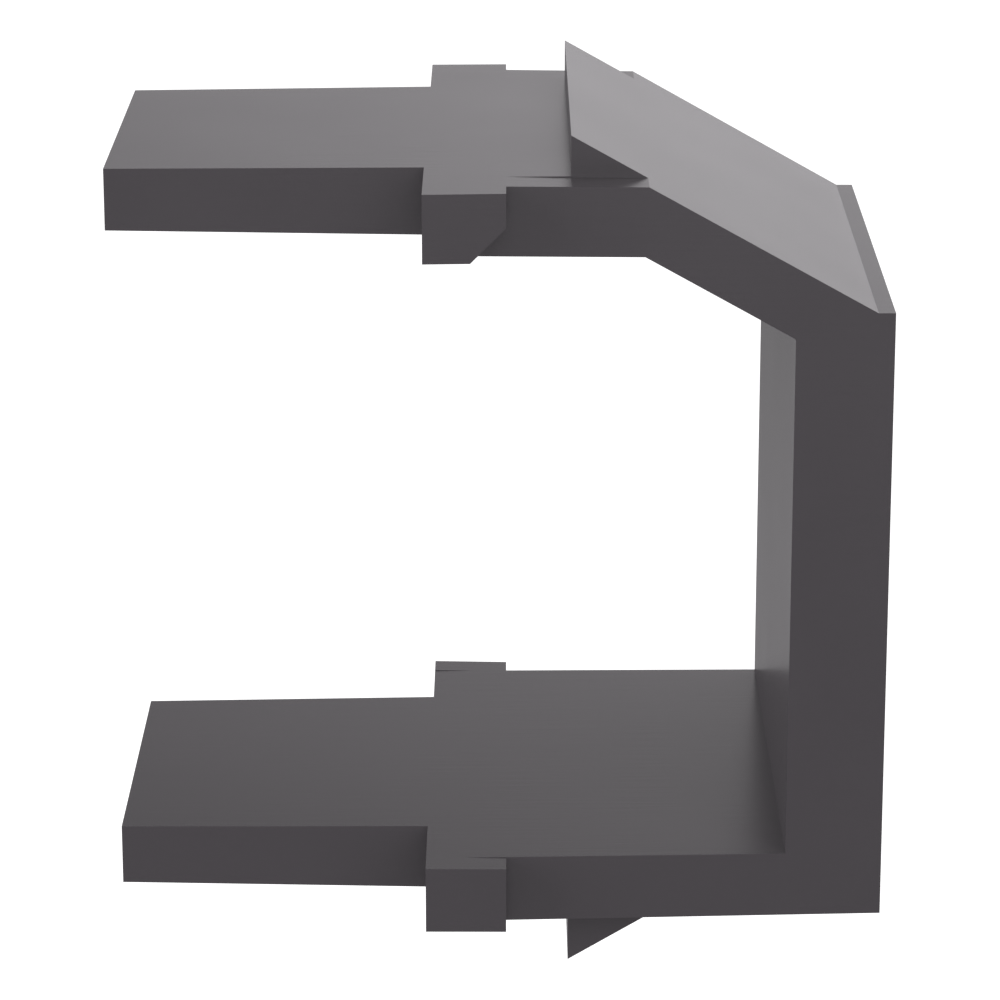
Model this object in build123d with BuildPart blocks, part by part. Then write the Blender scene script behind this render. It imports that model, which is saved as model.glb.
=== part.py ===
from build123d import *
from math import cos, radians, sin, tan
import os

os.makedirs("parts", exist_ok=True)

# Blank keystone module: one moulding that snaps into an empty port from behind and closes it.
# The origin is the centre of the front face, +X points out of the port towards the user, and +Z is up.
# Lengths are in millimetres and angles in degrees.

# Front face, and the plate behind it
face_width = 14.5
face_height = 16.33
plate_thickness = 2.52
top_land = 0.44
inner_corner_radius = 0.1

# Wall that slopes from the top of the face up to the upper arm
slope_angle = 29.3
slope_wall = 1.61

# Arms, measured where the tabs begin
arm_rise = 3.3
upper_arm_thickness = 1.8
lower_arm_thickness = 1.78
underside_fall = 0.89

# Catches in front of the panel's edge, and the tabs that stop behind it
catch_setback = 8.21
catch_width = 12.53
lower_catch_reach = 1.59
lower_catch_angle = 31.0
panel_gap = 1.64
tab_length = 2.1
tab_width = 16.41
tab_lead_in = 0.9

# Tails behind the tabs
tail_length = 8.2
tail_width = 10.21

# Draft, away from the parting line at the back of the tabs
draft = 0.5
body_side_draft = 0.66
tab_side_draft = 0.95
tail_side_draft = 1.08

# Depths behind the front face
tab_front = catch_setback + panel_gap
tab_back = tab_front + tab_length
tail_end = tab_back + tail_length

# Heights, the arms' where the tabs begin
face_top = face_height / 2
face_bottom = -face_height / 2
arm_top = face_top + arm_rise
arm_bottom = face_bottom - tab_front * tan(radians(underside_fall))

# Half widths
body_half_at_tab_front = face_width / 2 + tab_front * tan(radians(body_side_draft))
body_half_at_tab_back = face_width / 2 + tab_back * tan(radians(body_side_draft))
tab_half_at_front = tab_width / 2 - tab_length * tan(radians(tab_side_draft))
tail_half_at_end = tail_width / 2 - tail_length * tan(radians(tail_side_draft))

# More than the height of the part above or below its origin, for cuts that go right through
beyond = face_height + arm_rise


def climb(point, angle):
    """Line of the side view through a point, climbing by an angle towards the rear."""
    return Axis(Vector(point), (-cos(radians(angle)), sin(radians(angle)), 0))


def upright(depth):
    """Upright line of the side view at a depth behind the face."""
    return climb((-depth, 0), 90)


def crossings(lines):
    """Corners where each line of a closed outline crosses the next one."""
    return [line & following for line, following in zip(lines, lines[1:] + lines[:1])]


# Faces of the part as lines of the side view. In front of the tabs they are drafted for a tool half that
# leaves forwards. The tails, the space between the arms and the strips behind the catches belong to the
# half that leaves rearwards, so their draft runs the other way.
face = upright(0)
land = climb((0, face_top), 0)
slope = climb((-top_land, face_top), slope_angle)
slope_inside = climb(
    (
        -top_land - slope_wall * sin(radians(slope_angle)),
        face_top - slope_wall * cos(radians(slope_angle)),
    ),
    slope_angle,
)
plate_back = upright(plate_thickness)
upper_ledge = climb((-tab_front, arm_top), draft)
lower_ledge = climb((0, face_bottom), -underside_fall)
upper_tail = climb((-tab_front, arm_top), -draft)
lower_tail = climb((-tab_front, arm_bottom), draft)
upper_inside = climb((-tab_front, arm_top - upper_arm_thickness), draft)
lower_inside = climb((-tab_front, arm_bottom + lower_arm_thickness), -draft)
end = upright(tail_end)
catch_back = upright(catch_setback)
stop = upright(tab_front)
parting = upright(tab_back)

# The inside face of a tab crosses that of its arm halfway along the tab, with the opposite draft
tab_middle = upright((tab_front + tab_back) / 2)
upper_tab_inside = climb(upper_inside & tab_middle, -draft)
lower_tab_inside = climb(lower_inside & tab_middle, draft)

# The upper catch carries the slope on past its shoulder, and the lower one has a ramp of its own
lower_ramp = climb((-catch_setback, arm_bottom - lower_catch_reach), -lower_catch_angle)

# Tabs: wings that stand out of both arms at both sides, with a lead-in under the upper pair
with BuildPart() as tabs:
    with BuildSketch(Plane.XZ):
        with BuildLine():
            Polyline(crossings([stop, upper_tail, parting, upper_tab_inside]), close=True)
        make_face()
        chamfer(vertices().sort_by_distance(stop & upper_tab_inside)[0], tab_lead_in)
        with BuildLine():
            Polyline(crossings([stop, lower_tab_inside, parting, lower_tail]), close=True)
        make_face()
    extrude(amount=tab_width / 2, both=True)
    with BuildSketch():
        with BuildLine():
            Polyline(
                (-tab_front, body_half_at_tab_front),
                (-tab_front, tab_half_at_front),
                (-tab_back, tab_width / 2),
                (-tab_back, body_half_at_tab_back),
                close=True,
            )
        make_face()
        mirror(about=Plane.XZ)
    extrude(amount=beyond, both=True, mode=Mode.INTERSECT)

with BuildPart() as blank_module:
    # Plate, sloping wall, arms and tails are one outline of even wall, carried across the width
    with BuildSketch(Plane.XZ):
        with BuildLine():
            Polyline(
                crossings(
                    [
                        face,
                        land,
                        slope,
                        upper_ledge,
                        upper_tail,
                        end,
                        upper_inside,
                        slope_inside,
                        plate_back,
                        lower_inside,
                        end,
                        lower_tail,
                        lower_ledge,
                    ]
                ),
                close=True,
            )
        make_face()
        fillet(vertices().sort_by_distance(slope_inside & plate_back)[0], inner_corner_radius)
    extrude(amount=tab_width / 2, both=True)

    # The plan trims it: the body widens towards the tabs, and the tails narrow from there to their ends
    with BuildSketch():
        with BuildLine():
            Polyline(
                (0, 0),
                (0, face_width / 2),
                (-tab_back, body_half_at_tab_back),
                (-tab_back, tail_width / 2),
                (-tail_end, tail_half_at_end),
                (-tail_end, 0),
                close=True,
            )
        make_face()
        mirror(about=Plane.XZ)
    extrude(amount=beyond, both=True, mode=Mode.INTERSECT)

    # Each catch stands with the strip behind it, which reaches back to the tabs
    with BuildSketch(Plane.XZ):
        with BuildLine():
            Polyline(
                upper_ledge & slope,
                slope & catch_back,
                catch_back & upper_tail,
                upper_tail & stop,
                stop & upper_inside,
                close=True,
            )
        make_face()
        with BuildLine():
            Polyline(
                lower_ledge & lower_ramp,
                lower_ramp & catch_back,
                catch_back & lower_tail,
                lower_tail & stop,
                stop & lower_inside,
                close=True,
            )
        make_face()
    extrude(amount=catch_width / 2, both=True)

    add(tabs.part)

blank_module.part.label = "blank_module"
export_step(blank_module.part, "parts/blank_module.step")
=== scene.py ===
"""Blank keystone module: its satin moulded plastic, and the pale studio that it is shown in."""
import logging
import math
from dataclasses import dataclass
from enum import Enum
from typing import Any

import bpy
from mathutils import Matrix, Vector


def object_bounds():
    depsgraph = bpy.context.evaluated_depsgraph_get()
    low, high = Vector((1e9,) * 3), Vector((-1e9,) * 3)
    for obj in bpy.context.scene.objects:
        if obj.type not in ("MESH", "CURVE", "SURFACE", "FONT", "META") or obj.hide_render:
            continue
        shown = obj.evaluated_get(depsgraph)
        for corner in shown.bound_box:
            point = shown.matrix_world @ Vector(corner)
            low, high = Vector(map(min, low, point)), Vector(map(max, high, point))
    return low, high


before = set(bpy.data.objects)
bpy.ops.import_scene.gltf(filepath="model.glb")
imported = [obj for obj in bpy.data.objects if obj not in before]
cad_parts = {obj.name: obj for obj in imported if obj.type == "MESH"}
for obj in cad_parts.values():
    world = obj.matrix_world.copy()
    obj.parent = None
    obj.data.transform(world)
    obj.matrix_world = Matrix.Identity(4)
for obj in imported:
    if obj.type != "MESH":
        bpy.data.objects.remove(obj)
cad_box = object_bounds()

log = logging.getLogger("blank_module")

# One millimetre, in the metres of the frame
MM = 0.001

# Numbers of the mix node's colour sockets, which share their names with its other sockets
MIX_COLOUR_A = 6
MIX_COLOUR_B = 7
MIX_COLOUR_RESULT = 2


def linear(hex_colour: str) -> tuple[float, float, float, float]:
    """Turns an sRGB hex colour into the linear colour that a shader reads.

    Args:
        hex_colour: Colour written as "#rrggbb".

    Returns:
        Linear red, green and blue, and an alpha of 1.
    """

    def channel(value: int) -> float:
        """Turns one channel linear, by the curve of the sRGB standard.

        Args:
            value: The channel, from 0 to 255.

        Returns:
            Its linear share of full brightness.
        """
        share = value / 255
        return share / 12.92 if share <= 0.04045 else ((share + 0.055) / 1.055) ** 2.4

    red, green, blue = (int(hex_colour[i : i + 2], 16) for i in (1, 3, 5))
    return channel(red), channel(green), channel(blue), 1.0


def add_node(
    tree: bpy.types.NodeTree,
    kind: str,
    settings: dict[str, Any] | None = None,
    values: dict[str | int, Any] | None = None,
    links: dict[str | int, bpy.types.NodeSocket] | None = None,
) -> bpy.types.Node:
    """Adds one node with its settings, socket values and incoming links.

    Args:
        tree: Node tree that takes the node.
        kind: Node type, such as "ShaderNodeTexNoise".
        settings: Properties of the node itself.
        values: Values of its input sockets, by the socket's name or number.
        links: Output sockets to link into its inputs, by the input's name or number.

    Returns:
        The new node.
    """
    node = tree.nodes.new(kind)
    for name, setting in (settings or {}).items():
        setattr(node, name, setting)
    for socket, value in (values or {}).items():
        node.inputs[socket].default_value = value
    for socket, output in (links or {}).items():
        tree.links.new(output, node.inputs[socket])
    return node


@dataclass(frozen=True)
class SatinMouldedAbs:
    """ABS moulded in a steel tool that was polished with fine paper along the draw.

    It is a near-black plastic with a soft, even sheen: dark where it faces the eye and pale grey at a
    glancing angle, because it mirrors the bright surroundings without a sharp image.
    """

    name: str = "satin_moulded_abs"
    colour: str = "#3f3b3f"
    pale_colour: str = "#433f43"
    refractive_index: float = 1.54
    roughness: float = 0.26
    roughness_spread: float = 0.02
    cloud_size: float = 4.0 * MM
    cloud_detail: float = 3.0
    stroke_length: float = 2.5 * MM
    stroke_width: float = 0.1 * MM
    stroke_depth: float = 0.002 * MM
    stroke_detail: float = 2.0
    stroke_raggedness: float = 0.6

    def build(self) -> bpy.types.Material:
        """Makes the material.

        Returns:
            The new material.
        """
        material = bpy.data.materials.new(self.name)
        material.use_nodes = True
        tree = material.node_tree
        tree.nodes.clear()
        place = add_node(tree, "ShaderNodeTexCoord").outputs["Object"]

        # Faint clouds, several millimetres wide, where the melt cooled and its pigment spread unevenly
        clouds = add_node(
            tree,
            "ShaderNodeTexNoise",
            values={"Scale": 1 / self.cloud_size, "Detail": self.cloud_detail},
            links={"Vector": place},
        )
        colour = add_node(
            tree,
            "ShaderNodeMix",
            settings={"data_type": "RGBA"},
            values={MIX_COLOUR_A: linear(self.colour), MIX_COLOUR_B: linear(self.pale_colour)},
            links={"Factor": clouds.outputs["Fac"]},
        )
        roughness = add_node(
            tree,
            "ShaderNodeMapRange",
            values={
                "To Min": self.roughness - self.roughness_spread,
                "To Max": self.roughness + self.roughness_spread,
            },
            links={"Value": clouds.outputs["Fac"]},
        )

        # Faint strokes of the polishing paper, along X, the way the moulding leaves the tool. The real
        # ones are about 0.02 mm wide, too fine to draw, so these are five times as wide and very shallow.
        along, across = 1 / self.stroke_length, 1 / self.stroke_width
        along_draw = add_node(
            tree,
            "ShaderNodeMapping",
            values={"Scale": (along, across, across)},
            links={"Vector": place},
        )
        strokes = add_node(
            tree,
            "ShaderNodeTexNoise",
            values={"Scale": 1.0, "Detail": self.stroke_detail, "Roughness": self.stroke_raggedness},
            links={"Vector": along_draw.outputs["Vector"]},
        )
        relief = add_node(
            tree,
            "ShaderNodeBump",
            values={"Distance": self.stroke_depth},
            links={"Height": strokes.outputs["Fac"]},
        )
        skin = add_node(
            tree,
            "ShaderNodeBsdfPrincipled",
            values={"IOR": self.refractive_index},
            links={
                "Base Color": colour.outputs[MIX_COLOUR_RESULT],
                "Roughness": roughness.outputs["Result"],
                "Normal": relief.outputs["Normal"],
            },
        )
        add_node(tree, "ShaderNodeOutputMaterial", links={"Surface": skin.outputs["BSDF"]})
        return material


@dataclass
class BlankModule:
    """The one moulding: plate, sloping wall, arms, catches, tabs and tails."""

    node: str = "blank_module"
    finish: SatinMouldedAbs = SatinMouldedAbs()

    def dress(self) -> bpy.types.Object:
        """Gives the moulding its plastic.

        Returns:
            The dressed object.
        """
        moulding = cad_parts[self.node]
        moulding.data.materials.clear()
        moulding.data.materials.append(self.finish.build())
        return moulding


class LampPlace(Enum):
    """Where a soft box stands, in metres from the middle of the front face."""

    FRONT = (0.12, -0.4, 0.2)
    LEFT = (-0.5, -0.1, 0.15)
    HIGH_BACK = (0.2, 0.25, 0.5)


@dataclass(frozen=True)
class SoftBox:
    """Square soft box that faces the part."""

    place: LampPlace
    level: float
    size: float = 0.4

    def hang(self) -> bpy.types.Object:
        """Hangs the lamp.

        The level is how bright a white sheet that faces the lamp would be, at the part, as a share of
        white. The lamp's power follows from it and from the distance, with one factor of pi for the way
        the lamp spreads its light and one for the way the sheet does.

        Returns:
            The lamp.
        """
        place = Vector(self.place.value)
        light = bpy.data.lights.new(self.place.name.lower() + "_soft_box", "AREA")
        light.shape = "SQUARE"
        light.size = self.size
        light.energy = self.level * math.pi**2 * place.length_squared
        lamp = bpy.data.objects.new(light.name, light)
        lamp.location = place
        lamp.rotation_euler = place.to_track_quat("Z", "Y").to_euler()
        lamp.visible_camera = False
        bpy.context.scene.collection.objects.link(lamp)
        return lamp


@dataclass
class Studio:
    """Pale floor well below the held part, a pale room with a white backdrop, and three soft boxes.

    The backdrop is round, and fades from its middle to its edge. Its azimuth, from +Y towards +X, its
    height above the horizon and its reach, from the middle to the edge, are in degrees.
    """

    floor_drop: float = 50.0 * MM
    floor_size: float = 6.0
    floor_colour: str = "#b5b4b5"
    floor_lift: float = 0.9
    room_colour: str = "#fffcff"
    room_level: float = 0.26
    backdrop_level: float = 1.12
    backdrop_azimuth: float = 18.0
    backdrop_height: float = -2.0
    backdrop_reach: float = 37.0
    lamps: tuple[SoftBox, ...] = (
        SoftBox(LampPlace.FRONT, 0.67, size=0.5),
        SoftBox(LampPlace.LEFT, 0.79),
        SoftBox(LampPlace.HIGH_BACK, 0.27),
    )

    def floor(self) -> bpy.types.Object:
        """Lays the floor.

        Returns:
            The floor.
        """
        half = self.floor_size / 2
        height = cad_box[0].z - self.floor_drop
        mesh = bpy.data.meshes.new("floor")
        plan = [(-half, -half), (half, -half), (half, half), (-half, half)]
        mesh.from_pydata([(x, y, height) for x, y in plan], [], [(0, 1, 2, 3)])
        floor = bpy.data.objects.new("floor", mesh)
        bpy.context.scene.collection.objects.link(floor)
        mesh.materials.append(self.floor_paint())
        return floor

    def floor_paint(self) -> bpy.types.Material:
        """Makes matt pale board, lifted to white for the camera and for glass.

        The lift is added to the board's own light and shade, on which the small part, held well above it
        under large lamps, leaves a shadow too soft to see. The part's sheen mirrors the board as it is
        lit, which keeps the faces that look along it grey.

        Returns:
            The new material.
        """
        material = bpy.data.materials.new("matt_pale_board")
        material.use_nodes = True

        # The lift gives the part no light, so the board isn't sampled as a lamp
        material.cycles.emission_sampling = "NONE"
        tree = material.node_tree
        tree.nodes.clear()
        ray = add_node(tree, "ShaderNodeLightPath").outputs
        seen = add_node(
            tree,
            "ShaderNodeMath",
            settings={"operation": "ADD"},
            links={0: ray["Is Camera Ray"], 1: ray["Is Transmission Ray"]},
        )
        lift = add_node(
            tree,
            "ShaderNodeMapRange",
            values={"To Max": self.floor_lift},
            links={"Value": seen.outputs["Value"]},
        )
        board = add_node(tree, "ShaderNodeBsdfDiffuse", values={"Color": linear(self.floor_colour)})
        glow = add_node(tree, "ShaderNodeEmission", links={"Strength": lift.outputs["Result"]})
        surface = add_node(
            tree,
            "ShaderNodeAddShader",
            links={0: board.outputs["BSDF"], 1: glow.outputs["Emission"]},
        )
        add_node(tree, "ShaderNodeOutputMaterial", links={"Surface": surface.outputs["Shader"]})
        return material

    def room(self) -> bpy.types.World:
        """Makes the pale room, with its white backdrop.

        The camera sees white all round. Sheen and glass see it where the backdrop stands, and elsewhere
        the plainer room that lights the part.

        Returns:
            The new world.
        """
        world = bpy.data.worlds.new("room")
        world.use_nodes = True
        tree = world.node_tree
        tree.nodes.clear()
        azimuth, height = math.radians(self.backdrop_azimuth), math.radians(self.backdrop_height)
        towards_backdrop = (
            math.sin(azimuth) * math.cos(height),
            math.cos(azimuth) * math.cos(height),
            math.sin(height),
        )
        nearness = add_node(
            tree,
            "ShaderNodeVectorMath",
            settings={"operation": "DOT_PRODUCT"},
            values={1: towards_backdrop},
            links={0: add_node(tree, "ShaderNodeTexCoord").outputs["Generated"]},
        )
        backdrop = add_node(
            tree,
            "ShaderNodeMapRange",
            settings={"interpolation_type": "SMOOTHSTEP"},
            values={"From Min": math.cos(math.radians(self.backdrop_reach))},
            links={"Value": nearness.outputs["Value"]},
        )
        ray = add_node(tree, "ShaderNodeLightPath").outputs
        mirrored = add_node(
            tree,
            "ShaderNodeMath",
            settings={"operation": "ADD"},
            links={0: ray["Is Glossy Ray"], 1: ray["Is Transmission Ray"]},
        )
        backdrop_seen = add_node(
            tree,
            "ShaderNodeMath",
            settings={"operation": "MULTIPLY"},
            links={0: mirrored.outputs["Value"], 1: backdrop.outputs["Result"]},
        )
        level = add_node(
            tree,
            "ShaderNodeMapRange",
            values={"To Min": self.room_level, "To Max": self.backdrop_level},
            links={"Value": backdrop_seen.outputs["Value"]},
        )
        light = add_node(
            tree,
            "ShaderNodeBackground",
            values={"Color": linear(self.room_colour)},
            links={"Strength": level.outputs["Result"]},
        )
        white = add_node(tree, "ShaderNodeBackground", values={"Color": linear("#ffffff")})
        shown = add_node(
            tree,
            "ShaderNodeMixShader",
            links={
                0: ray["Is Camera Ray"],
                1: light.outputs["Background"],
                2: white.outputs["Background"],
            },
        )
        add_node(tree, "ShaderNodeOutputWorld", links={"Surface": shown.outputs["Shader"]})

        # A direct sample of the room isn't a glossy ray, so it would dim the backdrop in the sheen
        world.cycles.sampling_method = "NONE"
        bpy.context.scene.world = world
        return world


@dataclass
class ProductCamera:
    """Camera straight in front of the part's side, looking down on it.

    The pitch is in degrees, the lens in millimetres and the shift in widths of the picture. The near clip
    is a share of the distance.
    """

    aim: tuple[float, float, float] = (-9.857 * MM, 0.0, 0.997 * MM)
    distance: float = 116.77 * MM
    pitch: float = 17.1275
    lens: float = 153.6
    shift_x: float = -0.0059
    near_clip: float = 0.1

    def place(self) -> bpy.types.Object:
        """Sets the camera up as the scene's own.

        Returns:
            The camera.
        """
        camera = bpy.data.objects.new("camera", bpy.data.cameras.new("camera"))
        fall = math.radians(self.pitch)
        towards_camera = Vector((0.0, -math.cos(fall), math.sin(fall)))
        camera.location = Vector(self.aim) + self.distance * towards_camera
        camera.rotation_euler = (math.pi / 2 - fall, 0, 0)
        camera.data.lens = self.lens
        camera.data.shift_x = self.shift_x
        camera.data.clip_start = self.near_clip * self.distance
        bpy.context.scene.collection.objects.link(camera)
        bpy.context.scene.camera = camera
        return camera


def main() -> None:
    """Dresses the part and sets up the studio round it."""
    logging.basicConfig(level=logging.INFO, format="%(name)s: %(message)s")
    scene = bpy.context.scene
    scene.view_settings.view_transform = "Standard"

    camera = ProductCamera().place()
    log.info("camera %.0f mm from the front face", camera.location.length / MM)
    moulding = BlankModule().dress()
    log.info("%s dressed, %d faces", moulding.name, len(moulding.data.polygons))
    studio = Studio()
    log.info("floor at %.1f mm", studio.floor().data.vertices[0].co.z / MM)
    log.info("%s lit", studio.room().name)
    for soft_box in studio.lamps:
        log.info("%s hung", soft_box.hang().name)


if __name__ == "__main__":
    main()
